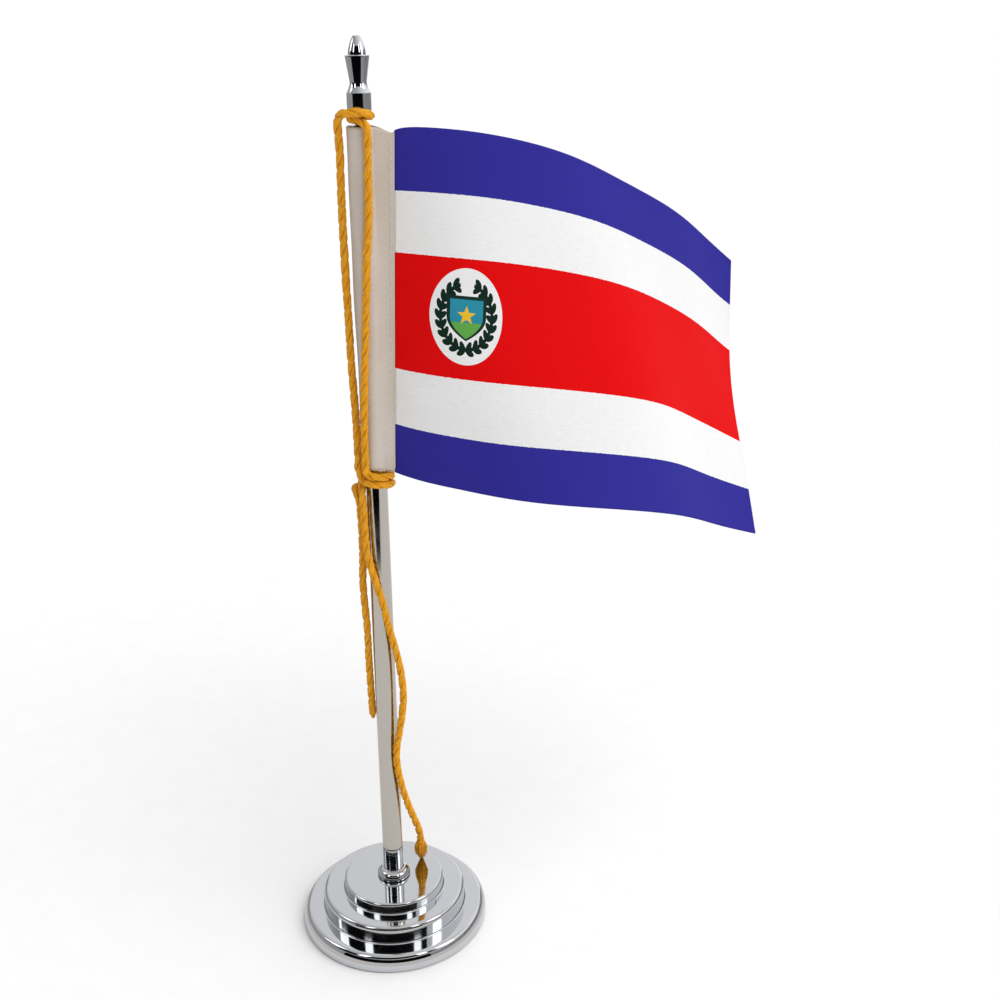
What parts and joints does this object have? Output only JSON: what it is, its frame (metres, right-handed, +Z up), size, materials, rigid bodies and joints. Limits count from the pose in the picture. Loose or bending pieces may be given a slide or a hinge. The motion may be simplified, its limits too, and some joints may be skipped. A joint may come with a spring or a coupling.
{
  "type": "desk flag stand",
  "caption": "Desk flag on a slim chromed pole with a turned finial, a round stepped base, and a printed cloth flag held by a sleeve and a tied cord.",
  "frame": {"origin": "centre of the base's underside, on the pole's axis", "axes": "+Z up along the pole; the flag flies towards +X at rest, and its hoist faces -Y to +X"},
  "size_m": [0.1703, 0.0685, 0.2815],
  "materials": {
    "shell_chrome": "bright chrome plate on pressed steel",
    "turned_chrome": "bright chrome plate on turned brass",
    "pole_chrome": "bright chrome plate on drawn steel tube",
    "ballast_iron": "as cast, not seen",
    "felt": "pressed black felt",
    "screw_steel": "zinc plated",
    "sleeve_cloth": "plain white polyester weave",
    "printed_cloth": "fine polyester weave with printed blue, white and red stripes",
    "gold_cord": "two-ply twisted golden yellow yarn"
  },
  "bodies": {
    "base": {"base_shell": "shell_chrome", "base_weight": "ballast_iron", "base_pad": "felt", "base_screw": "screw_steel", "base_washer": "screw_steel", "foot_ferrule": "turned_chrome"},
    "pole": {"pole_tube": "pole_chrome"},
    "finial": {"finial": "turned_chrome"},
    "flag": {"hoist_sleeve": "sleeve_cloth", "flag_panel": "printed_cloth", "halyard_loop": "gold_cord", "halyard_long_tail": "gold_cord", "halyard_short_tail": "gold_cord"}
  },
  "joints": [
    {"name": "pole_lift", "type": "slide", "parent": "base", "child": "pole", "axis": [0, 0, 1], "range_m": [0, 0.016]},
    {"name": "finial_lift", "type": "slide", "parent": "pole", "child": "finial", "axis": [0, 0, 1], "range_m": [0, 0.012]},
    {"name": "flag_swivel", "type": "hinge", "parent": "finial", "child": "flag", "pos_m": [0, 0, 0.1614], "axis": [0, 0, 1], "continuous": true}
  ]
}
